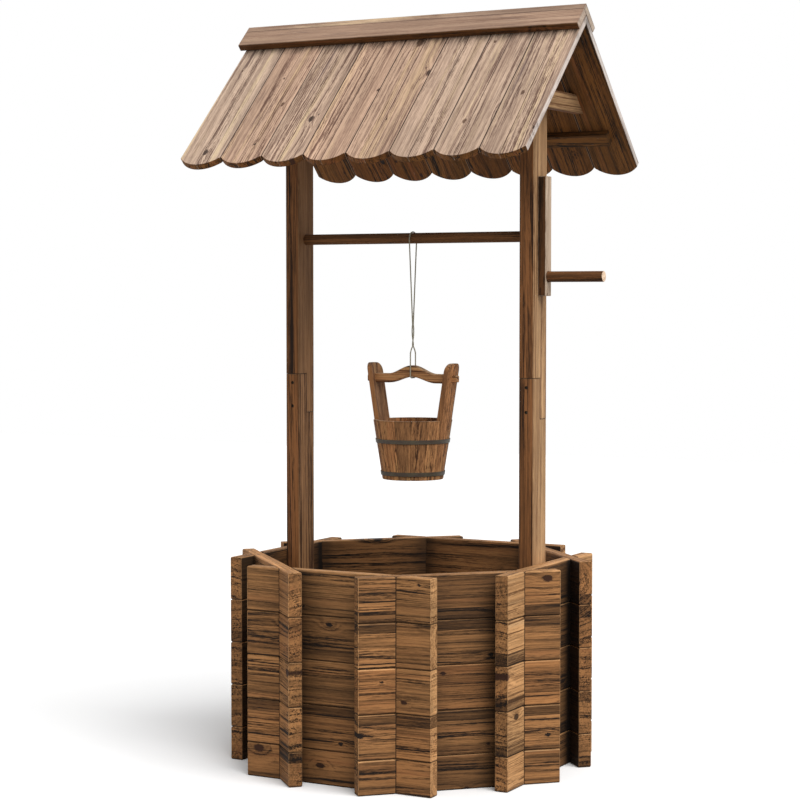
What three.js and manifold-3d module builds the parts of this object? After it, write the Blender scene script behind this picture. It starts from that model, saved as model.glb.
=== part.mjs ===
// Wishing well planter in burnt softwood, in millimetres, +Z up.
// The origin is on the ground, at the centre of the octagonal planter. The ridge and the roller run
// along X with the crank at +X, and the front slope of the roof faces -Y.

import * as THREE from 'three';
import { mergeVertices } from 'three/addons/utils/BufferGeometryUtils.js';
import Module from 'manifold-3d';

// Clearances and shared cutting values
const seatGap = 0.3;
const courseGap = 0.3;
const shaftClearance = 0.3;
const overrun = 20;
const weldDepth = 0.5;
const mergeTolerance = 0.0001;

// Octagonal planter of halved boards
const wallNames = [
  'front', 'front_right', 'right', 'back_right',
  'back', 'back_left', 'left', 'front_left',
];
const wallOuterApothem = 369.3;
const wallBoardThickness = 32.4;
const wallBoardLength = 481.6;
const upperCourseCount = 4;
const coursePitch = 103;
const bottomCourseHeight = 79.4;
const wallEdgeEase = 2.5;

// Planter floor
const bearerCount = 3;
const bearerWidth = 60;
const bearerHeight = 30;
const bearerSpacing = 190;
const slatCount = 7;
const slatThickness = 16;
const slatGap = 10;

// Posts
const postThickness = 38;
const postWidth = 73;
const postEdgeEase = 2.5;

// Roof
const ridgeHeight = 1762.6;
const roofPitchDegrees = 44.3;
const roofEndOverhang = 113.1;
const slopeLength = 482;
const roofBoardsPerSlope = 8;
const roofBoardThickness = 16.5;
const roofBoardGap = 0.8;
const scallopDepth = 25;
const jointGrooveWidth = 5;
const jointGrooveDepth = 2.4;
const middleGrooveWidth = 3;
const middleGrooveDepth = 1.5;

// Battens under the slopes
const battenFromRidge = 336;
const battenWidth = 35;
const battenThickness = 18;
const battenEndInset = 40;

// Ridge caps
const capLeftOverhang = 14;
const capThickness = 18;
const capWidth = 54;
const capEdgeEase = 1.5;

// Cross beams
const beamBelowRidge = 165.6;
const beamHeight = 43;
const beamThickness = 25;
const beamEdgeEase = 2;

// Windlass
const rollerBelowRidge = 505.8;
const rollerDiameter = 25.7;
const armLength = 278;
const armWidth = 32;
const armThickness = 20;
const armEdgeEase = 1.5;
const socketDepth = 12;
const pegDiameter = 25;
const pegReach = 140;
const pegBelowRoller = 94;
const pegEndEase = 1.5;

// Cord: one loop over the roller and round the bucket's handle
const cordDiameter = 3.4;
const cordDrop = 305.8;
const slingHeight = 49;
const slingForkHeight = 20;
const twistHeight = 50;
const strandGap = 0.4;
const twistTurns = 0.5;
const strandLean = 1.5;
const rollerCordGap = 0.5;

// Bucket
const bucketRimDiameter = 191;
const bucketBaseDiameter = 147;
const bucketDepth = 143;
const staveThickness = 12;
const shortStavesPerSide = 6;
const staveGrooveWidth = 2.4;
const staveGrooveDepth = 1.6;
const bucketFloorLift = 8;
const bucketFloorThickness = 10;
const tallStaveWidth = 56;
const tallStaveRise = 137;
const tallStaveCorner = 20;
const handleAboveRim = 131;
const handleArch = 20;
const handleArchLength = 130;
const handleEndHeight = 22.5;
const handleMiddleHeight = 28;
const handleThickness = 22;
const handleEase = 5;
const tenonHeight = 16;
const tenonThickness = 18;
const tenonProud = 10;
const hoopHeight = 10;
const hoopThickness = 1.8;
const upperHoopBelowRim = 45;
const lowerHoopAboveBase = 10;

// How finely round forms are divided
const shaftSides = 32;
const bucketSides = 56;
const cordSides = 8;
const cordSteps = 80;
const slingSteps = 36;
const twistSteps = 6;
const strandSteps = 3;
const overRollerSteps = 8;
const slingForkSteps = 4;
const slingTurnSteps = 4;
const scallopSteps = 12;
const archSteps = 12;
const cornerSteps = 5;
const handleEaseSteps = 2;

// Places worked out from the sizes above
const wallInnerApothem = wallOuterApothem - wallBoardThickness;
const wallTurn = 2 * Math.PI / wallNames.length;
const floorTop = bearerHeight + slatThickness;
const postOuterX = wallInnerApothem - seatGap;
const postInnerX = postOuterX - postThickness;
const outsidePostX = postOuterX + seatGap;
const roofPitch = THREE.MathUtils.degToRad(roofPitchDegrees);
const undersideRidge = ridgeHeight - roofBoardThickness / Math.cos(roofPitch);
const roofLength = 2 * (outsidePostX + roofEndOverhang);
const roofBoardWidth = roofLength / roofBoardsPerSlope;
const rollerHeight = ridgeHeight - rollerBelowRidge;
const rollerRadius = rollerDiameter / 2;
const cordRadius = cordDiameter / 2;
const handleTopZ = rollerHeight - cordDrop;
const rimZ = handleTopZ - handleAboveRim;
const bucketBaseZ = rimZ - bucketDepth;
const slingTopZ = handleTopZ + slingHeight;
const strandOffset = cordRadius + strandGap / 2;
const tallStaveHeight = bucketDepth + tallStaveRise;

const wasm = await Module();
wasm.setup();

// Solids: closed geometries turned into manifolds, to be joined and cut
function toSolid(geometry) {
  const bare = geometry.clone();
  bare.deleteAttribute('normal');
  bare.deleteAttribute('uv');
  const merged = mergeVertices(bare, mergeTolerance);
  const corners = merged.index.array;
  const kept = [];
  for (let i = 0; i < corners.length; i += 3) {
    const [a, b, c] = corners.slice(i, i + 3);
    if (a !== b && b !== c && c !== a) {
      kept.push(a, b, c);
    }
  }
  const mesh = new wasm.Mesh({
    numProp: 3,
    vertProperties: new Float32Array(merged.attributes.position.array),
    triVerts: new Uint32Array(kept),
  });
  return new wasm.Manifold(mesh);
}

function toGeometry(solid) {
  const { vertProperties, triVerts } = solid.getMesh();
  const geometry = new THREE.BufferGeometry();
  geometry.setAttribute('position', new THREE.BufferAttribute(vertProperties, 3));
  geometry.setIndex(new THREE.BufferAttribute(triVerts, 1));
  return geometry;
}

function joined(solids) {
  return solids.reduce((whole, solid) => whole.add(solid));
}

function cutBy(solid, tools) {
  return tools.reduce((left, tool) => left.subtract(tool), solid);
}

// Prisms: an outline in two axes, run along the third
function outlineShape(points) {
  return new THREE.Shape(points.map(([u, v]) => new THREE.Vector2(u, v)));
}

function prismAlongX(points, fromX, toX) {
  const prism = new THREE.ExtrudeGeometry(outlineShape(points), { depth: toX - fromX, bevelEnabled: false });
  const turn = new THREE.Matrix4().makeBasis(
    new THREE.Vector3(0, 1, 0), new THREE.Vector3(0, 0, 1), new THREE.Vector3(1, 0, 0));
  return prism.applyMatrix4(turn).translate(fromX, 0, 0);
}

function prismAlongY(points, fromY, toY) {
  const prism = new THREE.ExtrudeGeometry(outlineShape(points), { depth: toY - fromY, bevelEnabled: false });
  return prism.rotateX(Math.PI / 2).translate(0, toY, 0);
}

function prismAlongZ(points, fromZ, toZ) {
  const prism = new THREE.ExtrudeGeometry(outlineShape(points), { depth: toZ - fromZ, bevelEnabled: false });
  return prism.translate(0, 0, fromZ);
}

function easedRectangle(width, height, ease, centreU = 0, centreV = 0) {
  const u = width / 2;
  const v = height / 2;
  const corners = [
    [u - ease, -v], [u, -v + ease], [u, v - ease], [u - ease, v],
    [-u + ease, v], [-u, v - ease], [-u, -v + ease], [-u + ease, -v],
  ];
  return corners.map(([a, b]) => [a + centreU, b + centreV]);
}

function roundBarAlongX(radius, fromX, toX, centreZ) {
  const bar = new THREE.CylinderGeometry(radius, radius, toX - fromX, shaftSides);
  return bar.rotateZ(-Math.PI / 2).translate((fromX + toX) / 2, 0, centreZ);
}

// A faceted hole whose flats clear a round bar of this radius
function holeRadius(radius) {
  return (radius + shaftClearance) / Math.cos(Math.PI / shaftSides);
}

function revolved(profile, sides) {
  const points = profile.map(([radius, z]) => new THREE.Vector2(radius, z));
  return new THREE.LatheGeometry(points, sides).rotateX(Math.PI / 2);
}

// Planter walls
function courseRange(course) {
  if (course === 0) {
    return [0, bottomCourseHeight - courseGap];
  }
  const foot = bottomCourseHeight + (course - 1) * coursePitch;
  return [foot, foot + coursePitch - courseGap];
}

// The band that a neighbouring board fills, grown by the seat gap, between two heights
function neighbourBand(side, fromZ, toZ) {
  const middle = wallOuterApothem - wallBoardThickness / 2;
  const band = new THREE.BoxGeometry(wallBoardLength, wallBoardThickness + 2 * seatGap, toZ - fromZ);
  band.translate(0, -middle, (fromZ + toZ) / 2);
  return toSolid(band.rotateZ(side * wallTurn));
}

// Boards of alternate walls are halved from above and from below, so that they lock course by course
function wallBoard(course, notchedFromAbove) {
  const [footZ, headZ] = courseRange(course);
  const middleZ = (footZ + headZ) / 2;
  const middleY = wallBoardThickness / 2 - wallOuterApothem;
  const section = easedRectangle(wallBoardThickness, headZ - footZ, wallEdgeEase, middleY, middleZ);
  const board = toSolid(prismAlongX(section, -wallBoardLength / 2, wallBoardLength / 2));
  const notchFoot = notchedFromAbove ? middleZ - seatGap / 2 : footZ - overrun;
  const notchHead = notchedFromAbove ? headZ + overrun : middleZ + seatGap / 2;
  const notches = [-1, 1].map((side) => neighbourBand(side, notchFoot, notchHead));
  return toGeometry(cutBy(board, notches));
}

function planterWalls(material) {
  const walls = new THREE.Group();
  for (let course = 0; course <= upperCourseCount; course += 1) {
    const boards = [wallBoard(course, true), wallBoard(course, false)];
    wallNames.forEach((wallName, index) => {
      const board = named(`${wallName}_wall_board_${course + 1}`, boards[index % 2], material);
      board.rotation.z = index * wallTurn;
      walls.add(board);
    });
  }
  return walls;
}

// Planter floor: bearers along X on the ground, slats along Y on them, cut to the octagon
function octagon(apothem) {
  const radius = apothem / Math.cos(wallTurn / 2);
  return wallNames.map((_, index) => {
    const angle = (index + 1 / 2) * wallTurn;
    return [radius * Math.cos(angle), radius * Math.sin(angle)];
  });
}

function planterFloor(material) {
  const reach = wallInnerApothem;
  const rows = [];
  for (let i = 0; i < bearerCount; i += 1) {
    const y = (i - (bearerCount - 1) / 2) * bearerSpacing;
    const section = easedRectangle(bearerWidth, bearerHeight, 0, y, bearerHeight / 2);
    rows.push(toSolid(prismAlongX(section, -reach, reach)));
  }
  const slatPitch = 2 * reach / slatCount;
  for (let i = 0; i < slatCount; i += 1) {
    const x = (i - (slatCount - 1) / 2) * slatPitch;
    const foot = bearerHeight - weldDepth;
    const section = easedRectangle(slatPitch - slatGap, floorTop - foot, 0, x, (floorTop + foot) / 2);
    rows.push(toSolid(prismAlongY(section, -reach, reach)));
  }
  const inside = toSolid(prismAlongZ(octagon(wallInnerApothem - seatGap), -overrun, floorTop + overrun));
  return named('planter_floor', toGeometry(joined(rows).intersect(inside)), material);
}

// Everything below the undersides of the two slopes, less the seat gap
function underRoof() {
  const head = undersideRidge - seatGap / Math.cos(roofPitch);
  const halfSpan = slopeLength * Math.cos(roofPitch);
  const eave = head - halfSpan * Math.tan(roofPitch);
  const outline = [[-halfSpan, 0], [halfSpan, 0], [halfSpan, eave], [0, head], [-halfSpan, eave]];
  return toSolid(prismAlongX(outline, -roofLength, roofLength));
}

// Posts: cut to a gable under the roof and bored for the roller
function postGeometry(side) {
  const middleX = side * (postInnerX + postOuterX) / 2;
  const section = easedRectangle(postThickness, postWidth, postEdgeEase, middleX, 0);
  const blank = toSolid(prismAlongZ(section, floorTop + seatGap, ridgeHeight));
  const bore = toSolid(roundBarAlongX(
    holeRadius(rollerRadius), middleX - postThickness, middleX + postThickness, rollerHeight));
  return toGeometry(blank.intersect(underRoof()).subtract(bore));
}

// Cross beams: outside each post, their ends cut to the pitch
function beamGeometry(side) {
  const middleX = side * (outsidePostX + beamThickness / 2);
  const middleZ = ridgeHeight - beamBelowRidge - beamHeight / 2;
  const section = easedRectangle(beamThickness, beamHeight, beamEdgeEase, middleX, middleZ);
  const blank = toSolid(prismAlongY(section, -slopeLength, slopeLength));
  return toGeometry(blank.intersect(underRoof()));
}

// Roof slopes: in a slope's own frame X runs along the ridge, Y up the slope and Z out of it,
// with the origin on the ridge line of the upper faces
function slopeFrame(back) {
  const frame = new THREE.Group();
  frame.rotation.order = 'ZXY';
  frame.rotation.z = back ? Math.PI : 0;
  frame.rotation.x = roofPitch;
  frame.position.z = ridgeHeight;
  return frame;
}

function roofBoardOutline(fromX, toX) {
  const halfWidth = (toX - fromX) / 2;
  const radius = (halfWidth ** 2 + scallopDepth ** 2) / (2 * scallopDepth);
  const halfAngle = Math.asin(Math.min(1, halfWidth / radius));
  const centreX = (fromX + toX) / 2;
  const centreY = radius - slopeLength;
  const outline = [[toX, overrun], [fromX, overrun]];
  for (let i = 0; i <= scallopSteps; i += 1) {
    const angle = halfAngle * (2 * i / scallopSteps - 1);
    outline.push([centreX + radius * Math.sin(angle), centreY - radius * Math.cos(angle)]);
  }
  return outline;
}

function grooveAlongSlope(x, width, depth) {
  const outline = [[x, -depth], [x + width, depth], [x - width, depth]];
  return toSolid(prismAlongY(outline, -slopeLength - overrun, overrun));
}

// A panel of one board's thickness, mitred at the ridge
function slopeBlank() {
  const mitreTop = -seatGap / (2 * Math.cos(roofPitch));
  const mitreFoot = mitreTop - roofBoardThickness * Math.tan(roofPitch);
  const section = [
    [-slopeLength, -roofBoardThickness], [mitreFoot, -roofBoardThickness],
    [mitreTop, 0], [-slopeLength, 0],
  ];
  return toSolid(prismAlongX(section, -roofLength / 2, roofLength / 2));
}

function battenSolid() {
  const head = weldDepth - roofBoardThickness;
  const foot = -roofBoardThickness - battenThickness;
  const middleY = -battenFromRidge - battenWidth / 2;
  const section = easedRectangle(battenWidth, head - foot, 0, middleY, (head + foot) / 2);
  const reach = roofLength / 2 - battenEndInset;
  return toSolid(prismAlongX(section, -reach, reach));
}

function slopeGeometry() {
  const blank = slopeBlank();
  const grooves = [];
  const boards = [];
  for (let i = 0; i < roofBoardsPerSlope; i += 1) {
    const fromX = i * roofBoardWidth - roofLength / 2;
    const outline = roofBoardOutline(fromX + roofBoardGap / 2, fromX + roofBoardWidth - roofBoardGap / 2);
    const through = toSolid(prismAlongZ(outline, -roofBoardThickness - overrun, overrun));
    boards.push(blank.intersect(through));
    grooves.push(grooveAlongSlope(fromX + roofBoardWidth / 2, middleGrooveWidth, middleGrooveDepth));
    if (i > 0) {
      grooves.push(grooveAlongSlope(fromX, jointGrooveWidth, jointGrooveDepth));
    }
  }
  return toGeometry(cutBy(joined([...boards, battenSolid()]), grooves));
}

// A board on one slope, which ends this far past the plane of the other slope
function capGeometry(fromX, toX, pastOther) {
  const foot = seatGap;
  const head = seatGap + capThickness;
  const endAt = (z) => (pastOther - z * Math.cos(2 * roofPitch)) / Math.sin(2 * roofPitch);
  const section = [
    [-capWidth + capEdgeEase, foot], [endAt(foot), foot], [endAt(head), head],
    [-capWidth + capEdgeEase, head], [-capWidth, head - capEdgeEase], [-capWidth, foot + capEdgeEase],
  ];
  return toGeometry(toSolid(prismAlongX(section, fromX, toX)));
}

// Two slopes with a cap board each: the back cap laps over the upper edge of the front one
function roof(slopeMaterial, capMaterial) {
  const group = new THREE.Group();
  const slope = slopeGeometry();
  const reach = roofLength / 2;
  const caps = {
    front: capGeometry(-reach - capLeftOverhang, reach, 0),
    back: capGeometry(-reach, reach + capLeftOverhang, seatGap + capThickness),
  };
  [['front', false], ['back', true]].forEach(([side, back]) => {
    const frame = slopeFrame(back);
    frame.add(named(`${side}_roof_slope`, slope, slopeMaterial));
    frame.add(named(`${side}_ridge_cap`, caps[side], capMaterial));
    group.add(frame);
  });
  return group;
}

// Windlass: the roller turns in both posts, and its right end sits in the arm
function rollerGeometry() {
  const toX = outsidePostX + socketDepth - seatGap;
  return roundBarAlongX(rollerRadius, -postOuterX, toX, rollerHeight);
}

function armGeometry() {
  const section = easedRectangle(armWidth, armLength, armEdgeEase, 0, rollerHeight);
  const blank = toSolid(prismAlongX(section, outsidePostX, outsidePostX + armThickness));
  const rollerSocket = roundBarAlongX(
    holeRadius(rollerRadius), outsidePostX - overrun, outsidePostX + socketDepth, rollerHeight);
  const face = outsidePostX + armThickness;
  const pegSocket = roundBarAlongX(
    holeRadius(pegDiameter / 2), face - socketDepth, face + overrun, rollerHeight - pegBelowRoller);
  return toGeometry(cutBy(blank, [toSolid(rollerSocket), toSolid(pegSocket)]));
}

function pegGeometry() {
  const fromX = outsidePostX + armThickness - socketDepth + seatGap;
  const length = socketDepth - seatGap + pegReach;
  const radius = pegDiameter / 2;
  const profile = [
    [0, 0], [radius, 0], [radius, length - pegEndEase], [radius - pegEndEase, length], [0, length],
  ];
  const peg = revolved(profile, shaftSides).rotateY(Math.PI / 2);
  return toGeometry(toSolid(peg.translate(fromX, 0, rollerHeight - pegBelowRoller)));
}

function windlass(shaftMaterial, armMaterial, pegMaterial) {
  const group = new THREE.Group();
  group.add(named('roller', rollerGeometry(), shaftMaterial));
  group.add(named('crank_arm', armGeometry(), armMaterial));
  group.add(named('crank_peg', pegGeometry(), pegMaterial));
  return group;
}

// Bucket: everything in it follows one cone, from the bottom of the staves upwards
function bucketRadius(z) {
  const flare = (bucketRimDiameter - bucketBaseDiameter) / (2 * bucketDepth);
  return bucketBaseDiameter / 2 + z * flare;
}

// Outline of a tall stave, seen along X: it narrows with the cone up to the rim, then stands straight
function tallStaveOutline(grow) {
  const rimHalf = tallStaveWidth / 2 + grow;
  const baseHalf = tallStaveWidth * bucketBaseDiameter / (2 * bucketRimDiameter) + grow;
  const head = tallStaveHeight + grow;
  const half = [[baseHalf, -grow], [rimHalf, bucketDepth]];
  for (let i = 0; i <= cornerSteps; i += 1) {
    const angle = (Math.PI / 2) * (i / cornerSteps);
    const y = rimHalf - tallStaveCorner * (1 - Math.cos(angle));
    half.push([y, head - tallStaveCorner * (1 - Math.sin(angle))]);
  }
  const mirrored = half.map(([y, z]) => [-y, z]).reverse();
  return [...half, ...mirrored];
}

// The shell of the cone between two offsets from the staves' faces, cut to that outline
function tallStaveBlank(grow) {
  const foot = -grow;
  const head = tallStaveHeight + grow;
  const profile = [
    [bucketRadius(foot) - staveThickness - grow, foot], [bucketRadius(foot) + grow, foot],
    [bucketRadius(head) + grow, head], [bucketRadius(head) - staveThickness - grow, head],
    [bucketRadius(foot) - staveThickness - grow, foot],
  ];
  const shell = toSolid(revolved(profile, bucketSides));
  return shell.intersect(toSolid(prismAlongX(tallStaveOutline(grow), 0, bucketRimDiameter)));
}

function tenonMiddle() {
  return bucketDepth + handleAboveRim - handleArch - handleEndHeight / 2;
}

function tenonPrism(fromX, toX, grow) {
  const section = easedRectangle(
    tenonThickness + 2 * grow, tenonHeight + 2 * grow, 0, 0, tenonMiddle());
  return toSolid(prismAlongX(section, fromX, toX));
}

function tallStaveGeometry() {
  const mortise = tenonPrism(0, bucketRimDiameter, seatGap);
  return toGeometry(tallStaveBlank(0).subtract(mortise));
}

// Short staves with the bottom disc let in above their lower ends, in one solid
function tubBlank() {
  const floorFoot = bucketFloorLift;
  const floorHead = bucketFloorLift + bucketFloorThickness;
  const profile = [
    [0, floorFoot], [bucketRadius(floorFoot) - staveThickness, floorFoot],
    [bucketRadius(0) - staveThickness, 0], [bucketRadius(0), 0],
    [bucketRadius(bucketDepth), bucketDepth], [bucketRadius(bucketDepth) - staveThickness, bucketDepth],
    [bucketRadius(floorHead) - staveThickness, floorHead], [0, floorHead],
  ];
  return toSolid(revolved(profile, bucketSides));
}

// A groove down the outside of the cone at one angle, between two staves
function staveGroove(angle) {
  const radius = bucketRadius(0);
  const lean = Math.atan2(bucketRadius(bucketDepth) - radius, bucketDepth);
  const outline = [
    [-staveGrooveDepth, 0], [staveGrooveDepth, -staveGrooveWidth], [staveGrooveDepth, staveGrooveWidth],
  ];
  const groove = prismAlongZ(outline, -overrun, bucketDepth + overrun);
  return toSolid(groove.rotateY(lean).translate(radius, 0, 0).rotateZ(angle));
}

function tubGeometry() {
  const tallHalfAngle = Math.asin(tallStaveWidth / bucketRimDiameter);
  const span = Math.PI - 2 * tallHalfAngle;
  const grooves = [];
  [0, Math.PI].forEach((start) => {
    for (let i = 1; i < shortStavesPerSide; i += 1) {
      grooves.push(staveGroove(start + tallHalfAngle + span * (i / shortStavesPerSide)));
    }
  });
  const slots = [0, Math.PI].map((angle) => toSolid(toGeometry(tallStaveBlank(seatGap)).rotateZ(angle)));
  return toGeometry(cutBy(tubBlank(), [...slots, ...grooves]));
}

// Height of the handle's arch over its ends, as a share, at a place along it
function archShare(x) {
  const reach = Math.min(1, Math.abs(x) / (handleArchLength / 2));
  return (1 + Math.cos(Math.PI * reach)) / 2;
}

function handleOutline(halfLength) {
  const head = bucketDepth + handleAboveRim;
  const topAt = (x) => head - handleArch * (1 - archShare(x));
  const heightAt = (x) => handleEndHeight + (handleMiddleHeight - handleEndHeight) * archShare(x);
  const stations = [-halfLength];
  for (let i = 0; i <= archSteps; i += 1) {
    stations.push(handleArchLength * (i / archSteps - 1 / 2));
  }
  stations.push(halfLength);
  const lower = stations.map((x) => [x, topAt(x) - heightAt(x)]);
  const upper = stations.map((x) => [x, topAt(x)]).reverse();
  return [...lower, ...upper];
}

// A bar with rounded long edges, shouldered against the inner faces of the tall staves
function handleGeometry() {
  const tenonZ = tenonMiddle();
  const insideStave = bucketRadius(tenonZ) - staveThickness / 2;
  const bar = new THREE.ExtrudeGeometry(outlineShape(handleOutline(insideStave)), {
    depth: handleThickness - 2 * handleEase,
    bevelThickness: handleEase,
    bevelSize: handleEase,
    bevelOffset: -handleEase,
    bevelSegments: handleEaseSteps,
  });
  bar.rotateX(Math.PI / 2).translate(0, handleThickness / 2 - handleEase, 0);
  const tenonEnd = bucketRadius(tenonZ) + tenonProud;
  const tenonRoot = insideStave - staveThickness;
  const shoulders = [0, Math.PI].map((angle) => toSolid(toGeometry(tallStaveBlank(seatGap)).rotateZ(angle)));
  const tenons = [tenonPrism(tenonRoot, tenonEnd, 0), tenonPrism(-tenonEnd, -tenonRoot, 0)];
  return toGeometry(joined([cutBy(toSolid(bar), shoulders), ...tenons]));
}

function hoopGeometry(footZ) {
  const headZ = footZ + hoopHeight;
  const inner = (z) => bucketRadius(z) + seatGap;
  const profile = [
    [inner(footZ), footZ], [inner(footZ) + hoopThickness, footZ],
    [inner(headZ) + hoopThickness, headZ], [inner(headZ), headZ], [inner(footZ), footZ],
  ];
  return toGeometry(toSolid(revolved(profile, bucketSides)));
}

function bucket(staveMaterial, handleMaterial, hoopMaterial) {
  const group = new THREE.Group();
  group.position.z = bucketBaseZ;
  const tallStave = tallStaveGeometry();
  const rightStave = named('right_tall_stave', tallStave, staveMaterial);
  const leftStave = named('left_tall_stave', tallStave, staveMaterial);
  leftStave.rotation.z = Math.PI;
  group.add(named('bucket_tub', tubGeometry(), staveMaterial), rightStave, leftStave);
  group.add(named('bucket_handle', handleGeometry(), handleMaterial));
  group.add(named('upper_hoop', hoopGeometry(bucketDepth - upperHoopBelowRim - hoopHeight), hoopMaterial));
  group.add(named('lower_hoop', hoopGeometry(lowerHoopAboveBase), hoopMaterial));
  return group;
}

// Cord tubes: a round section run along a smooth curve through the points
function cordTube(points, steps) {
  const places = points.map(([x, y, z]) => new THREE.Vector3(x, y, z));
  const path = new THREE.CatmullRomCurve3(places, false, 'centripetal');
  const section = [];
  for (let i = 0; i < cordSides; i += 1) {
    const angle = 2 * Math.PI * (i / cordSides);
    section.push([cordRadius * Math.cos(angle), cordRadius * Math.sin(angle)]);
  }
  const options = { steps, extrudePath: path, bevelEnabled: false };
  return toGeometry(toSolid(new THREE.ExtrudeGeometry(outlineShape(section), options)));
}

// One strand from the foot of the twist up to the side of the roller
function strandPoints(side) {
  const points = [[0, side * strandOffset, slingTopZ + seatGap / 2]];
  const footZ = slingTopZ + seatGap / 2 + cordDiameter;
  const twistTopZ = slingTopZ + twistHeight;
  for (let i = 0; i <= twistSteps; i += 1) {
    const share = i / twistSteps;
    const angle = 2 * Math.PI * twistTurns * share;
    const z = footZ + (twistTopZ - footZ) * share;
    points.push([-side * strandOffset * Math.sin(angle), side * strandOffset * Math.cos(angle), z]);
  }
  const rollerSide = -side;
  const reach = rollerRadius + rollerCordGap + cordRadius;
  for (let i = 1; i <= strandSteps; i += 1) {
    const share = i / strandSteps;
    const y = rollerSide * (strandOffset + (reach - strandOffset) * share);
    points.push([rollerSide * strandLean * share, y, twistTopZ + (rollerHeight - twistTopZ) * share]);
  }
  return points;
}

function hangingCordGeometry() {
  const reach = rollerRadius + rollerCordGap + cordRadius;
  const over = [];
  for (let i = 1; i < overRollerSteps; i += 1) {
    const angle = Math.PI * (i / overRollerSteps);
    const across = Math.cos(angle);
    over.push([strandLean * across, reach * across, rollerHeight + reach * Math.sin(angle)]);
  }
  const points = [...strandPoints(-1), ...over, ...strandPoints(1).reverse()];
  return cordTube(points, cordSteps);
}

// The lower part of the loop, round the middle of the handle, which goes with the bucket
function slingGeometry() {
  const side = handleThickness / 2 + seatGap + cordRadius;
  const turn = handleEase + seatGap + cordRadius;
  const foot = handleTopZ - handleMiddleHeight - seatGap - cordRadius;
  const headZ = slingTopZ - seatGap / 2;
  const half = [[0, strandOffset, headZ]];
  for (let i = 0; i <= slingForkSteps; i += 1) {
    const share = i / slingForkSteps;
    const opening = (side - strandOffset) * Math.sin(Math.PI / 2 * share);
    half.push([0, strandOffset + opening, headZ - cordDiameter - slingForkHeight * share]);
  }
  for (let i = 0; i <= slingTurnSteps; i += 1) {
    const angle = (Math.PI / 2) * (i / slingTurnSteps);
    half.push([0, side - turn * (1 - Math.cos(angle)), foot + turn * (1 - Math.sin(angle))]);
  }
  const mirrored = half.map(([x, y, z]) => [x, -y, z]).reverse();
  return cordTube([...half, ...mirrored], slingSteps);
}

function cord(material) {
  const group = new THREE.Group();
  group.add(named('hanging_cord', hangingCordGeometry(), material));
  group.add(named('cord_sling', slingGeometry(), material));
  return group;
}

function named(name, geometry, material) {
  const mesh = new THREE.Mesh(geometry, material.clone());
  mesh.name = name;
  return mesh;
}

function wood(color) {
  return new THREE.MeshStandardMaterial({ color, roughness: 0.75, metalness: 0, flatShading: true });
}

const wallWood = wood(0x7d5639);
const floorWood = wood(0x8a6a4c);
const postWood = wood(0x6f4a31);
const roofWood = wood(0xa58468);
const capWood = wood(0x7a5238);
const shaftWood = wood(0x5d3c28);
const pegWood = wood(0x8a6345);
const staveWood = wood(0x855335);
const handleWood = wood(0x7a4a2c);
const hoopMetal = new THREE.MeshStandardMaterial({ color: 0x47433d, roughness: 0.6, metalness: 0.7 });
const cordFibre = new THREE.MeshStandardMaterial({ color: 0x9b9484, roughness: 0.9, metalness: 0 });

const well = new THREE.Group();
well.name = 'wishing_well_planter';
well.add(planterWalls(wallWood), planterFloor(floorWood));
[['left', -1], ['right', 1]].forEach(([side, sign]) => {
  well.add(named(`${side}_post`, postGeometry(sign), postWood));
  well.add(named(`${side}_cross_beam`, beamGeometry(sign), postWood));
});
well.add(roof(roofWood, capWood), windlass(shaftWood, postWood, pegWood));
well.add(bucket(staveWood, handleWood, hoopMetal), cord(cordFibre));

export default well;
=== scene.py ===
"""Wishing well planter in burnt softwood: the looks of every board, the bucket and the cord.

Lengths are in metres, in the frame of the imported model: +Z up, X along the ridge and the roller, the crank
at +X and the front slope of the roof towards -Y.
"""
import random
from functools import partialmethod
from math import asin, atan2, ceil, copysign, cos, degrees, pi, radians, sin, sqrt, tan

import bmesh
import bpy
import numpy as np
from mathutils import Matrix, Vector


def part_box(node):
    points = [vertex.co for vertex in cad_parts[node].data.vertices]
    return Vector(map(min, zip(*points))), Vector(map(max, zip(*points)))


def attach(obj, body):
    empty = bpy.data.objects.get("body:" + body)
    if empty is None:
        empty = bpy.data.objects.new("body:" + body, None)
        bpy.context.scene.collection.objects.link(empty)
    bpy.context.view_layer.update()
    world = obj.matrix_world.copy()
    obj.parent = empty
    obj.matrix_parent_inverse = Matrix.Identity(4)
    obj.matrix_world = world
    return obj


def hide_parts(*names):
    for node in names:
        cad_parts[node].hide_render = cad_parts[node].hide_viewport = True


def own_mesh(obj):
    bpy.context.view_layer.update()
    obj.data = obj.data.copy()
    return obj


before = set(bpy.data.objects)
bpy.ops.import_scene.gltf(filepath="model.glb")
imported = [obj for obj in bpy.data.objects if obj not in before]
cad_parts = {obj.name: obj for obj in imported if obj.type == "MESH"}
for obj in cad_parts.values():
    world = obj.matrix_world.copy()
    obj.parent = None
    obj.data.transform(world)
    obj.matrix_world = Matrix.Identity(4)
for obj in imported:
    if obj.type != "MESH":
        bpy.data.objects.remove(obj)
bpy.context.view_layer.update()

# Camera, solved from the photograph
IMAGE_SIDE_PX = 800
FOCAL_LENGTH_PX = 2093.6
SENSOR_MM = 36
CAMERA_PLACE = (2.3674, -4.4628, 1.1154)
CAMERA_AZIMUTH_DEG = 28.299
CAMERA_ELEVATION_DEG = 2.8142

# Light and floor
KEY_FROM = (0.50, -0.25, 0.83)
KEY_STRENGTH = 2.9
KEY_ANGLE_DEG = 48
SKY_LEVEL = 0.55
FLOOR_HALF = 9
FLOOR_SEEN_COLOUR = 0.92
FLOOR_BOUNCE_COLOUR = 0.30

# All pieces
SEAT_GAP = 0.0003
BOARD_EDGE = 0.001
SHARP_DEG = 32
FLAT_DEG = 0.4
WELD = 1e-6
NEAR = 1e-5

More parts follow.
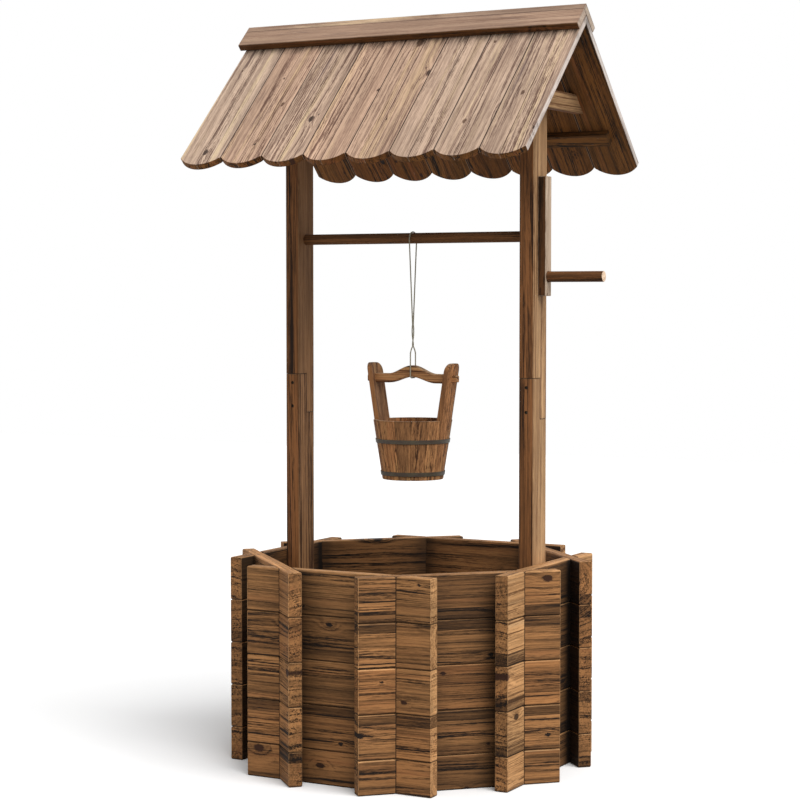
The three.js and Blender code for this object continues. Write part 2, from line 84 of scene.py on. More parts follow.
# Planter
WALLS = ("front", "front_right", "right", "back_right", "back", "back_left", "left", "front_left")
COURSES = 5
WALL_EDGE = 0.0013
BEARERS = 3
BEARER_SPACING = 0.19
BEARER_WIDTH = 0.06
BEARER_HEIGHT = 0.03
SLATS = 7
SLAT_GAP = 0.01

# Posts: each in two lengths, half-lapped and screwed together from the front
POST_EDGE = 0.0009
LAP_TOP = 0.9263
LAP_FOOT = 0.8300
LAP_LINE = 0.0012
SCREW_HEIGHTS = (0.8466, 0.9045)
SCREW_RADIUS = 0.0030
SCREW_CHAMFER = 0.0003
SCREW_HOLE_RADIUS = 0.0034
SCREW_HOLE_DEPTH = 0.0070
SCREW_SUNK = 0.0045
SCREW_SIDES = 24
SCREW_STAIN = 0.0046

# Roof, seen in the frame of one slope: X along the ridge, Y up the slope, Z out of it
RIDGE_HEIGHT = 1.7626
ROOF_PITCH = radians(44.3)
SLOPE_LENGTH = 0.482
ROOF_BOARDS = 8
ROOF_THICKNESS = 0.0165
ROOF_KERF = 0.0008
SCALLOP_DEPTH = 0.025
JOINT_HALF = 0.0025
JOINT_DEPTH = 0.0024
MIDDLE_HALF = 0.0018
MIDDLE_DEPTH = 0.0017
ROOF_EDGE = 0.0012
COLUMNS_PER_HALF = 7
BATTEN_FROM_RIDGE = 0.336
BATTEN_WIDTH = 0.035
BATTEN_THICKNESS = 0.018
BATTEN_REACH = 0.41
CAP_EDGE = 0.0009

# Windlass
TURNED_SIDES = 72
TURNED_EDGE = 0.0015

# Bucket
BUCKET_BASE_RADIUS = 0.0735
STAVE_THICKNESS = 0.012
STAVES_PER_SIDE = 6
STAVE_GAP = 0.0004
STAVE_EDGE = 0.0009
STAVE_ARC_STEPS = 8
TALL_STAVE_HALF = 0.028
TALL_STAVE_EDGE = 0.0011
DISC_LIFT = 0.008
DISC_THICKNESS = 0.010
DISC_BOARDS = 3
DISC_SIDES = 96
DISC_EDGE = 0.0006
HANDLE_ABOVE_RIM = 0.131
HANDLE_ARCH = 0.020
HANDLE_ARCH_LENGTH = 0.130
HANDLE_END_HEIGHT = 0.0225
HANDLE_MIDDLE_HEIGHT = 0.028
HANDLE_THICKNESS = 0.022
HANDLE_CORNER = 0.005
HANDLE_CORNER_STEPS = 5
HANDLE_STATIONS = 48
TENON_HEIGHT = 0.016
TENON_THICKNESS = 0.018
TENON_EDGE = 0.0014
HOOP_THICKNESS = 0.0018
HOOP_EDGE = 0.0006
HOOP_EDGE_STEPS = 3
HOOP_SIDES = 144
OVERLAP_HALF_DEG = 8
OVERLAP_THICKNESS = 0.0011
OVERLAP_EDGE = 0.00044
OVERLAP_EDGE_STEPS = 2
OVERLAP_HEIGHT_SHARE = 0.92
OVERLAP_STEPS = 12
RIVET_RADIUS = 0.0024
RIVET_DOME = 0.0011
RIVET_SIDES = 16
RIVET_PROFILE = ((1, -0.3), (1, 0), (0.82, 0.55), (0.45, 0.9), (0.1, 1))

# Cord: one loop over the roller and round the handle
CORD_DIAMETER = 0.0034
SLING_HEIGHT = 0.049
SLING_FORK_HEIGHT = 0.020
SLING_STEPS = 6
TWIST_HEIGHT = 0.050
TWIST_TURNS = 0.5
TWIST_STEPS = 18
STRAND_GAP = 0.0004
STRAND_LEAN = 0.0015
STRAND_UPRIGHT = 0.012
STRAND_STEPS = 4
ROLLER_CORD_GAP = 0.0005
ROLLER_STEPS = 12
ROPE_LAY = 0.0095
ROPE_STEP = 0.0009
ROPE_LOBES = 3
ROPE_LOBE_SHARE = 0.54
ROPE_SIDES = 15
SPLINE_STEPS = 12

# Points and outlines
X, Y, Z = (Vector(axis) for axis in ((1, 0, 0), (0, 1, 0), (0, 0, 1)))
QUARTER_ROUND = [(1 - cos(a), 1 - sin(a)) for a in (0, pi / 4, pi / 2)]


def unit(turn):
    """The level direction at this many degrees from +X towards +Y."""
    return Vector((cos(radians(turn)), sin(radians(turn)), 0))


def spread(low, high, steps):
    """Evenly spaced numbers from low to high."""
    return [low + (high - low) * i / steps for i in range(steps + 1)]


def circle(centre, radius, u, v, sides):
    """Points on a circle, from u towards v."""
    turns = spread(0, 2 * pi, sides)[:-1]
    return [centre + (u * cos(turn) + v * sin(turn)) * radius for turn in turns]


def rounded(width, height, radius, steps):
    """A rectangle with round corners, as (u, v) points round its centre."""
    points = []
    for corner, (su, sv) in enumerate(((1, 1), (-1, 1), (-1, -1), (1, -1))):
        for angle in spread(pi / 2 * corner, pi / 2 * (corner + 1), steps):
            u = su * (width / 2 - radius) + radius * cos(angle)
            v = sv * (height / 2 - radius) + radius * sin(angle)
            points.append((u, v))
    return points


def clipped(outline, normal, reach):
    """What is left of a convex outline within this reach along a level direction."""
    kept = []
    for i, point in enumerate(outline):
        before = outline[i - 1]
        here, there = point.dot(normal) - reach, before.dot(normal) - reach
        if (here < 0) != (there < 0):
            kept.append(before + (point - before) * (there / (there - here)))
        if here < 0:
            kept.append(point)
    return kept


# Meshes
def loft(rings, closed=False):
    """A skin through rings of equally many points, closed on itself or else capped at both ends."""
    bm = bmesh.new()
    rows = [[bm.verts.new(point) for point in ring] for ring in rings]
    for lower, upper in zip(rows, rows[1:] + (rows[:1] if closed else [])):
        for i in range(len(lower)):
            k = (i + 1) % len(lower)
            bm.faces.new((lower[i], lower[k], upper[k], upper[i]))
    if not closed:
        bm.faces.new(rows[0][::-1])
        bm.faces.new(rows[-1])
    return bm


def flattened(bm):
    """The same mesh with its flat faces made whole."""
    bmesh.ops.dissolve_limit(bm, angle_limit=radians(FLAT_DEG), verts=bm.verts, edges=bm.edges)
    return bm


def solid_of(node):
    """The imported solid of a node, with whole flat faces."""
    bm = bmesh.new()
    bm.from_mesh(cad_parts[node].data)
    bmesh.ops.remove_doubles(bm, verts=bm.verts, dist=WELD)
    return flattened(bm)


def eased(bm, width):
    """The same mesh with its sharp edges rounded."""
    bmesh.ops.recalc_face_normals(bm, faces=bm.faces)
    sharp = [e for e in bm.edges if e.is_manifold and e.calc_face_angle() > radians(SHARP_DEG)]
    bmesh.ops.bevel(
        bm, geom=sharp, offset=width, segments=2, profile=0.5, affect="EDGES", clamp_overlap=True)
    return bm


# Pieces
def placed(name, data):
    """A new object in the scene."""
    thing = bpy.data.objects.new(name, data)
    bpy.context.scene.collection.objects.link(thing)
    return thing


def with_material(name, bm, material):
    """A mesh made into an object."""
    mesh = bpy.data.meshes.new(name)
    bm.to_mesh(mesh)
    bm.free()
    mesh.materials.append(material)
    return placed(name, mesh)


def finished(name, bm, kind, stands_for=(), crease_deg=38):
    """A mesh made into a piece of one kind, which is a body, a material and a slot; the slot is not used."""
    body, material, slot = kind
    bmesh.ops.recalc_face_normals(bm, faces=bm.faces)
    for face in bm.faces:
        face.smooth = True
    for edge in bm.edges:
        edge.smooth = not edge.is_manifold or edge.calc_face_angle() < radians(crease_deg)
    piece = with_material(name, bm, material)
    normals = piece.modifiers.new("even_normals", "WEIGHTED_NORMAL")
    normals.keep_sharp = True
    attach(piece, body)
    if stands_for:
        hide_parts(*stands_for)
    return piece


def board(name, bm, kind, node, along, across, crease_deg=38, **grain):
    """A wooden piece in the place of a node or of a part of it."""
    return lay_grain(finished(name, bm, kind, [node], crease_deg), along, across, **grain)


def planks(name, inside, across, count, pitch, width, foot, top, edge, kind, node):
    """A row of flat boards side by side across X or Y, cut to a level outline."""
    for i in range(count):
        middle = (i - (count - 1) / 2) * pitch
        outline = clipped(clipped(inside, across, middle + width / 2), -across, width / 2 - middle)
        slab = loft([[point + Z * height for point in outline] for height in (foot, top)])
        board(f"{name}_{i + 1}", eased(slab, edge), kind, node, across.yxz, across)


# Grain: what the wood shader needs to know about each board
PITH_TILT = 0.018
PITH_BEHIND = (0.006, 0.05)
PITH_BESIDE = (0.04, 0.16)
PITH_DEPTH = 0.04
GRAIN_START = 12
STRIP_WIDTH = (0.022, 0.030)
STRIP_DEPTH = (0.4, 0.9)
NO_SEAM = 99


def chosen_pith(rng, half, flat_share):
    """Where the tree's middle lies, across and through a board: past an edge or behind a face."""
    if rng.random() < flat_share:
        across = rng.uniform(-0.6, 0.6) * half[1]
        return across, rng.choice((-1, 1)) * (half[2] + rng.uniform(*PITH_BEHIND))
    across = rng.choice((-1, 1)) * (half[1] + rng.uniform(*PITH_BESIDE))
    return across, rng.uniform(-PITH_DEPTH, PITH_DEPTH)


def chosen_seam(rng, half, share):
    """Where a darker strip is glued along a long edge of a board, on which side, and how dark it is."""
    if rng.random() < share:
        return half[1] - rng.uniform(*STRIP_WIDTH), rng.choice((-1, 1)), rng.uniform(*STRIP_DEPTH)
    return NO_SEAM, 1, 0


def store(mesh, name, rows):
    values = np.ascontiguousarray(rows, np.float32)
    mesh.attributes.new(name, "FLOAT_VECTOR", "POINT").data.foreach_set("vector", values.ravel())


def lay_grain(piece, along, across, pith=None, flat_share=0.2, strip_share=0.0):
    """Tells each point its place from the board's middle and from the pith, and its board's tone."""
    rng = random.Random(piece.name)
    along, across = along.normalized(), across.normalized()
    axes = np.array([along, across, along.cross(across)])
    mesh = piece.data
    points = np.zeros(len(mesh.vertices) * 3)
    mesh.vertices.foreach_get("co", points)
    local = points.reshape(-1, 3) @ axes.T
    low, high = local.min(0), local.max(0)
    place, half = local - (low + high) / 2, (high - low) / 2
    drawn = chosen_pith(rng, half, flat_share)
    pith = pith or drawn
    seam = chosen_seam(rng, half, strip_share)
    grain = place.copy()
    grain[:, 0] += rng.uniform(-GRAIN_START, GRAIN_START)
    grain[:, 1] += place[:, 0] * rng.uniform(-PITH_TILT, PITH_TILT) - pith[0]
    grain[:, 2] += place[:, 0] * rng.uniform(-PITH_TILT, PITH_TILT) - pith[1]
    tone = [rng.uniform(-1, 1), rng.uniform(-1, 1), rng.random()]
    facts = {"grain": grain, "place": place, "half": half, "tone": tone, "seam": seam}
    for name, rows in facts.items():
        store(mesh, name, np.broadcast_to(rows, place.shape))
    return piece


# Shader graphs written as sums
class Field:
    """A number in a shader, which is used in sums like a plain one."""

    def __init__(self, shader, socket):
        self.shader = shader
        self.socket = socket

    def math(self, operation, *others):
        return self.shader.node("Math", enumerate([self, *others]), operation=operation)

    __add__ = partialmethod(math, "ADD")
    __sub__ = partialmethod(math, "SUBTRACT")
    __mul__ = partialmethod(math, "MULTIPLY")
    __truediv__ = partialmethod(math, "DIVIDE")
    __pow__ = partialmethod(math, "POWER")
    __abs__ = partialmethod(math, "ABSOLUTE")
    least = partialmethod(math, "MINIMUM")
    most = partialmethod(math, "MAXIMUM")

    def inverse(self):
        """1 less this."""
        return self * -1 + 1

    def smooth(self, low, high):
        """0 below low, 1 above high and a smooth step between. It falls where low is the higher."""
        inputs = {"Value": self, "From Min": low, "From Max": high}
        return self.shader.node("MapRange", inputs.items(), interpolation_type="SMOOTHSTEP")


class Shader:
    """The nodes of a material or of the world."""

    def __init__(self, owner, surface="Principled BSDF"):
        self.owner = owner
        self.owner.use_nodes = True
        self.tree = owner.node_tree
        self.inputs = self.tree.nodes[surface].inputs

    def feed(self, socket, value):
        if isinstance(value, Field):
            self.tree.links.new(value.socket, socket)
        else:
            socket.default_value = value

    def node(self, kind, inputs=(), output=0, **settings):
        node = self.tree.nodes.new("ShaderNode" + kind)
        for name, value in settings.items():
            setattr(node, name, value)
        for name, value in inputs:
            self.feed(node.inputs[name], value)
        return Field(self, node.outputs[output])

    def attribute(self, name):
        return self.node("Attribute", output="Vector", attribute_name=name)

    def parts(self, vector):
        """The three numbers of a vector."""
        split = self.node("SeparateXYZ", [(0, vector)]).socket.node
        return [Field(self, output) for output in split.outputs]

    def vector(self, x, y, z):
        return self.node("CombineXYZ", enumerate((x, y, z)))

    def scaled(self, vector, by):
        return self.node("VectorMath", [(0, vector), (1, by)], operation="MULTIPLY")

    def noise(self, vector, scale, detail=2.0, roughness=0.5):
        """Soft noise from 0 to 1, with a count of waves to the metre along each axis."""
        vector = self.scaled(vector, scale)
        inputs = [("Vector", vector), ("Scale", 1), ("Detail", detail), ("Roughness", roughness)]
        return self.node("TexNoise", inputs)

    def mix(self, share, a, b, blend="MIX"):
        """Colour a turned into colour b by a share."""
        inputs = [(0, share), (6, a), (7, b)]
        return self.node("Mix", inputs, output=2, data_type="RGBA", blend_type=blend)

    def seen_or_mirrored(self):
        """1 for rays of the camera, of gloss and through glass, and 0 for the rest."""
        seen, gloss, glass = (
            self.node("LightPath", output=f"Is {ray} Ray") for ray in ("Camera", "Glossy", "Transmission"))
        return seen.most(gloss).most(glass)

    def finish(self, colour, roughness, height, height_m, strength):
        """Plugs colour, roughness and relief into the surface."""
        relief = self.node("Bump", [("Height", height), ("Distance", height_m), ("Strength", strength)])
        for name, value in (("Base Color", colour), ("Roughness", roughness), ("Normal", relief)):
            self.feed(self.inputs[name], value)
        return self.owner


def paint(red, green, blue):
    """A colour from its screen values, 0 to 255."""
    values = [c / 255 for c in (red, green, blue)]
    return [c / 12.92 if c <= 0.04045 else ((c + 0.055) / 1.055) ** 2.4 for c in values] + [1.0]


# Wood: its knots, rings, lines and edges
KNOT_ALONG = 0.15
KNOT_ACROSS = 0.07
KNOT_LARGE = 0.0105
KNOT_SMALL = 0.0022
KNOT_RAGGED = 0.010
RING_SWAY = 0.016
RING_WAVE = 0.0030
GLUE_LINE = (0.0011, 0.0003)
STRIP_EDGE = 0.0002
STRIP_SHIFT = (3.1, 0.013)
RIM_FADE = (0.0075, 0.0022)
RIM_UNEVEN = 0.004
RUBBED_AND_HIGHLIT_EDGE = (0.0021, 0.0008)
WOOD_ROUGHNESS = 0.70
WOOD_RELIEF = 0.0008


def knots(shader, grain, place, share):
    """How far each point is inside a knot, how much it pushes the rings, and a chance of its own."""
    x = shader.parts(grain)[0]
    y = shader.parts(place)[1]
    cells = shader.vector(x / KNOT_ALONG, y / KNOT_ACROSS + x * 0.3, 0)
    cell = shader.node("TexVoronoi", [("Vector", cells), ("Scale", 1)], voronoi_dimensions="2D").socket.node
    away = [(0, cells), (1, Field(shader, cell.outputs["Position"]))]
    dx, dy, _ = shader.parts(shader.node("VectorMath", away, operation="SUBTRACT"))
    chance, size, kind = shader.parts(Field(shader, cell.outputs["Color"]))
    ragged = (shader.noise(grain, (190, 360, 360), 4, 0.7) - 0.5) * KNOT_RAGGED
    distance = ((dx * (KNOT_ALONG / 1.7)) ** 2 + (dy * KNOT_ACROSS) ** 2) ** 0.5 + ragged
    radius = size * size * (KNOT_LARGE - KNOT_SMALL) + KNOT_SMALL
    here = chance.smooth(1 - share, 1 - share + 0.01)
    inside = (distance / radius).smooth(1.35, 0.25) * here
    push = ((distance / (radius * 2.6)) ** 2 * -1).math("EXPONENT") * here * radius * 1.9
    return inside, push, kind


def edge_distance(shader, place, half):
    """How far a point on a board's skin is from the nearest long or end edge."""
    a, b, c = (h - abs(p) for h, p in zip(shader.parts(half), shader.parts(place)))
    return a.least(b).most(a.most(b).least(c))


def figure(shader, grain, push, chance, ring, fine):
    """The drawing of the grain: ring lines, broad bands, streaks, threads, short flecks and a slow sway."""
    _, across, through = shader.parts(grain)
    sway = shader.noise(grain, (1.3, 8, 8)) - 0.5
    wave = shader.noise(grain, (7, 55, 55), 3) - 0.5
    radius = (across ** 2 + through ** 2) ** 0.5 + sway * RING_SWAY + wave * RING_WAVE + push
    turns = radius / (chance * (0.7 * ring) + 0.7 * ring)
    share = turns.math("FRACT")
    strength = shader.node("TexWhiteNoise", [("W", turns.math("FLOOR"))], noise_dimensions="1D")
    line = share.smooth(0.15, 0.86) * share.smooth(1.0, 0.92) * (strength * 0.9 + 0.1) - 0.35
    banding = [("W", radius + chance), ("Scale", 62), ("Detail", 4), ("Roughness", 0.72)]
    bands = shader.node("TexNoise", banding, noise_dimensions="1D") - 0.5
    streaks = shader.noise(grain, (4 * fine, 150 * fine, 150 * fine), 5, 0.7) - 0.5
    threads = shader.noise(grain, (6 * fine, 400 * fine, 400 * fine), 3, 0.6) - 0.5
    flecks = shader.noise(grain, (55, 480, 480), 3, 0.65) - 0.5
    return line, bands, streaks, threads, flecks, sway


# Wear and painted light: each function gives the dark stains and painted shade, the brightness, and the share
# of bleaching and painted light kept, for a kind of piece, with these lengths
PAINTED_SHADE_REACH = 0.026
PAINTED_SHADE_FADE = 0.075
RECESS_FADE = 0.012
CORNER_LINE = 0.0011
INNER_FACE = (0.0015, 0.0004)
FOOT_LINE = (0.0045, 0.0012)
BELOW_CAP_FADE = (0.094, 0.056)
PEG_START = 0.001


def wall_painted_light(shader, place, half, faced):
    """Painted shade in wall corners and recesses; only tops and free ends keep bleaching and painted light.
    """
    low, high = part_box("front_wall_board_1")
    middle, skin = -(low.y + high.y) / 2, (high.y - low.y) / 2
    x, y, z = shader.parts(place)
    facing_x, facing_y, facing_up = shader.parts(faced)
    past = (abs(x) + z + middle) * sqrt(0.5) - middle
    end = past.smooth(skin - CORNER_LINE, skin + CORNER_LINE)
    recess = past.smooth(-skin, -skin - RECESS_FADE)
    top = facing_up.smooth(0.7, 0.9)
    # painted shade at the crossings, beside them, on faces towards +X, inside the stub ends and at lower
    # edges
    corner = abs(abs(past) - skin).smooth(CORNER_LINE, CORNER_LINE / 2) * 0.85
    beside = past.smooth(-skin - PAINTED_SHADE_REACH, -skin) * 0.38 + past.smooth(-skin - PAINTED_SHADE_FADE, -skin) * 0.4
    beside = (beside + facing_x.smooth(0.8, 0.95) * 0.35) * end.inverse() * top.inverse()
    inner = (z + skin).smooth(*INNER_FACE) * end * 0.93
    foot = (y + shader.parts(half)[1]).smooth(*FOOT_LINE) * 0.8
    # painted shade: the recess faces are dimmed, more where they face front and right
    recess_shade_share = (facing_x - facing_y).smooth(1.3, 1.4) * 0.18 + 0.15
    soot_and_painted_shade = corner.most(beside).most(inner).most(foot)
    return soot_and_painted_shade, recess * top.inverse() * recess_shade_share * -1 + 1, end.most(top)


def roof_stains_and_painted_light(shader, place, half, faced):
    """Roof boards: dark drops and painted shade below the ridge cap, painted light on the ends and
    undersides.
    """
    x, y, _ = shader.parts(place)
    _, fore, up = shader.parts(faced)
    below = (shader.parts(half)[0] - x).smooth(*BELOW_CAP_FADE)
    drops = shader.noise(shader.vector(x, y, 0), (16, 95, 0), 3, 0.6)
    # painted light: the faces that look down the slope, the round lower ends and the undersides, are made
    # lighter
    cut = (abs(fore) * cos(ROOF_PITCH) - up * sin(ROOF_PITCH)).smooth(0.75, 0.9)
    under_sky = shader.parts(shader.attribute("roof"))[1]
    soot_and_painted_shade = (drops - 0.36).smooth(0, 0.3) * below * 0.7
    # painted shade: a little darker just below the ridge cap
    return soot_and_painted_shade, below * -0.10 + cut * 0.45 + 1, under_sky


def post_stains_and_painted_shade(shader, *_):
    """Dark lap joints and screw stains. Left post and beam: painted shade, less bleaching and painted light.
    """
    x, y, z = shader.parts(shader.node("TexCoord", output="Object"))
    right, front = x.math("GREATER_THAN", 0), y.math("LESS_THAN", 0)

    def line(away):
        return abs(away).smooth(LAP_LINE, LAP_LINE / 2)

    upright = line(y) * z.smooth(LAP_FOOT - LAP_LINE, LAP_FOOT) * z.smooth(LAP_TOP + LAP_LINE, LAP_TOP)
    upper, lower = line(z - LAP_TOP) * y.smooth(LAP_LINE, 0), line(z - LAP_FOOT) * y.smooth(-LAP_LINE, 0)
    soot_and_painted_shade = upright.most(upper).most(lower) * 0.85
    low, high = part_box("right_post")
    for height in SCREW_HEIGHTS:
        away = ((abs(x) - (low.x + high.x) / 2) ** 2 + (z - height) ** 2) ** 0.5
        soot_and_painted_shade = soot_and_painted_shade.most(away.smooth(SCREW_STAIN, SCREW_HOLE_RADIUS) * front * 0.9)
    # painted shade on the left post and beam: darker, with less bleaching and painted light
    return soot_and_painted_shade, right * 0.06 + 0.94, right * 0.6 + 0.4


def crank_wear(shader, *_):
    """The peg of the crank is made lighter by hands."""
    x = shader.parts(shader.node("TexCoord", output="Object"))[0]
    arm_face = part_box("crank_arm")[1].x
    return 0.0, x.smooth(arm_face, arm_face + PEG_START) * 0.8 + 1, 1.0


def wood(name, early, late, pale, dull, char=(28, 18, 11), ashen=(28, 18, 11), tinge=(150, 92, 58),
         cream=(206, 172, 132), tinged=0.35, glare=(214, 192, 170), glared=0.0, ring=0.0046, lines=0.35,
         broad=2.0, stretch=1.0, knot_share=0.35, burn=0.5, contrast=1.0, fine=1.0, shade=0.10, hue=0.4,
         bleach_and_light_dir=(0.5, 0, 0.8), bleach_and_light_from=0.3, bleach_and_light_to=0.7, arris=0.5, wear_and_painted_light=None, joint=0.0,
         flecked=1.1, specks=0.25, patchy=0.9):
    """Burnt and brushed softwood: rings, streaks, slits, knots, charred bands and paler faces towards the
    sun.

    early and late are the colours of the soft and hard parts of a ring, and pale and dull the same on the
    faces towards the sun, which are paler by bleaching and by painted light. char is burnt wood and ashen the
    same towards the sun. tinge and cream are some bands, as they are and paler towards the sun, and glare is
    a painted highlight on faces towards +X. The direction of bleaching and painted light is where the paler
    faces look. arris says how much the edges are made pale, by rubbing and by a painted highlight, and joint
    how dark the joints between roof boards are.
    """
    early, late, pale, dull, char, ashen, tinge, cream, glare = (
        paint(*colour) for colour in (early, late, pale, dull, char, ashen, tinge, cream, glare))
    shader = Shader(bpy.data.materials.new(name))
    grain, place, half, tone, seam = (
        shader.attribute(n) for n in ("grain", "place", "half", "tone", "seam"))
    lightness, warmth, chance = shader.parts(tone)
    up_to, side, depth = shader.parts(seam)
    beyond = shader.parts(place)[1] * side - up_to
    strip = beyond.smooth(-STRIP_EDGE, STRIP_EDGE)
    glue = abs(beyond).smooth(*GLUE_LINE)
    along, across = (strip * shift for shift in STRIP_SHIFT)
    grain = shader.node("VectorMath", [(0, grain), (1, shader.vector(along, across, 0))])
    grain = shader.scaled(grain, (1 / stretch, 1, 1))
    faced = shader.node("TexCoord", output="Normal")
    facing_x = shader.parts(faced)[0]
    knot, push, kind = knots(shader, grain, place, knot_share)
    if glared:
        knot = knot * facing_x.smooth(0.9, 0.6)
    line, bands, streaks, threads, flecks, sway = figure(shader, grain, push, chance, ring, fine)
    patch = shader.noise(grain, (2.2, 12, 12), 3, 0.6) - 0.5
    fibre = shader.noise(grain, (60, 1100, 1100), 2, 0.6) - 0.5
    slits = shader.noise(grain, (7 * fine, 330 * fine, 330 * fine), 2, 0.5).smooth(0.63, 0.70)
    soot_and_painted_shade, light, bleach_and_light_kept = wear_and_painted_light(shader, place, half, faced) if wear_and_painted_light else (0.0, 1.0, 1.0)

    busy = shader.noise(grain, (1.6, 24, 24), 2).smooth(0.40, 0.66) * 1.1 + 0.45
    dark = line * lines + bands * broad + streaks * 2.3 + threads * 1.3 + flecks * flecked
    dark = (dark * busy * contrast + strip * depth * 0.35 + 0.42).most(0).least(1)
    # faces that look towards the sun are made paler, partly by bleaching and partly by painted light
    towards = [(0, faced), (1, Vector(bleach_and_light_dir).normalized())]
    sun = shader.node("VectorMath", towards, output="Value", operation="DOT_PRODUCT")
    bleached_and_lit = sun.smooth(bleach_and_light_from, bleach_and_light_to) * bleach_and_light_kept
    colour = shader.mix(bleached_and_lit, shader.mix(dark, early, late), shader.mix(dark, pale, dull))
    hued = shader.noise(grain, (1.1, 42, 42), 3, 0.6).smooth(0.52, 0.70) * tinged
    colour = shader.mix(hued * dark.inverse(), colour, shader.mix(bleached_and_lit, tinge, cream))
    # painted highlight on faces towards +X
    if glared:
        lit = facing_x.smooth(0.8, 0.95) * bleached_and_lit * glared
        colour = shader.mix(lit * (dark * -0.6 + 1), colour, glare)

    cloud = shader.noise(grain, (2.4, 30, 30), 3, 0.6) - 0.5 + bands * 0.6
    charred = cloud.smooth(0.10, 0.34) * (chance * 0.9 + 0.35) * burn
    edge = edge_distance(shader, place, half)
    uneven = shader.noise(grain, (35, 110, 110), 3)
    rim = (edge + uneven * RIM_UNEVEN).smooth(*RIM_FADE) * 0.30
    burnt = shader.mix(bleached_and_lit, char, ashen)
    colour = shader.mix(charred.most(rim), colour, burnt)
    colour = shader.mix(strip * depth * 0.45, colour, late)
    # pale edges: rubbing, and a painted highlight along the bevels
    rubbed_and_highlit = edge.smooth(*RUBBED_AND_HIGHLIT_EDGE) * uneven.smooth(0.3, 0.6) * arris
    # pale specks on raised grain, partly a painted highlight
    speck = flecks.smooth(0.16, 0.26) * specks
    colour = shader.mix(rubbed_and_highlit.most(speck), colour, pale)
    colour = shader.mix(flecks.smooth(-0.18, -0.28) * 0.45, colour, burnt)
    if joint:
        gap = shader.parts(shader.attribute("roof"))[0]
        # painted highlight on the sides of the roof grooves; the dark groove bottom is the joint's own colour
        colour = shader.mix(gap.smooth(0.02, 0.25) * gap.smooth(0.6, 0.4) * 0.45, colour, pale)
        colour = shader.mix(gap.smooth(0.45, 0.8) * joint, colour, char)
    colour = shader.mix((slits * 0.55).most(glue * 0.6), colour, burnt)
    colour = shader.mix(knot.smooth(0.12, 0.5) * 0.75, colour, shader.mix(bleached_and_lit, late, dull))
    core = shader.mix(bleached_and_lit, paint(56, 32, 20), paint(92, 66, 50))
    core = shader.mix(kind.smooth(0.55, 0.7), paint(25, 15, 10), core)
    heart = knot.smooth(0.42, 0.62) * (bleached_and_lit * -0.25 + 1)
    colour = shader.mix(heart, colour, core)
    # darkens to char: sooty stains, and painted shade on the walls
    colour = shader.mix(soot_and_painted_shade, colour, char)

    level = lightness * shade + fibre * 0.5 + sway * 0.4 + patch * patchy - strip * depth * 0.3 + 1
    level = level * light
    colour = shader.mix(1.0, colour, shader.vector(level, level, level), "MULTIPLY")
    tint = shader.mix(warmth * (0.5 * hue) + 0.5, paint(246, 255, 255), paint(255, 246, 236))
    colour = shader.mix(1.0, colour, tint, "MULTIPLY")

    rough = dark * 0.10 + fibre * 0.25 + WOOD_ROUGHNESS
    height = dark * 0.5 + fibre * 0.5 - heart * 0.7 - slits * 0.6 - glue * 0.8
    shader.inputs["Specular IOR Level"].default_value = 0.2
    return shader.finish(colour, rough, height, WOOD_RELIEF, 0.8)


# Finishes
STEEL_RELIEF = 0.0004
CORD_RELIEF = 0.0003


def hoop_steel():
    """Dull steel with a brown bloom."""
    shader = Shader(bpy.data.materials.new("hoop_steel"))
    place = shader.node("TexCoord", output="Object")
    cloud = shader.noise(place, (55, 55, 90), 4, 0.65)
    speck = shader.noise(place, (900, 900, 900), 2)
    colour = shader.mix(cloud.smooth(0.40, 0.62), paint(80, 72, 56), paint(58, 44, 32))
    colour = shader.mix(speck.smooth(0.60, 0.75) * 0.6, colour, paint(28, 23, 19))
    shader.feed(shader.inputs["Metallic"], cloud.smooth(0.62, 0.36) * 0.6)
    return shader.finish(colour, cloud * 0.3 + 0.42, speck * 0.4 + cloud, STEEL_RELIEF, 0.6)


def cord_fibre():
    """Greyish twisted fibre, darker in the hollows of its lay."""
    shader = Shader(bpy.data.materials.new("cord_fibre"))
    place = shader.node("TexCoord", output="Object")
    fuzz = shader.noise(place, (1500, 1500, 500), 3, 0.6)
    cloud = shader.noise(place, (60, 60, 30), 2)
    colour = shader.mix(fuzz.smooth(0.3, 0.7), paint(146, 138, 116), paint(196, 188, 166))
    colour = shader.mix(cloud.smooth(0.5, 0.75) * 0.35, colour, paint(120, 110, 78))
    return shader.finish(colour, fuzz * 0.2 + 0.75, fuzz, CORD_RELIEF, 0.8)


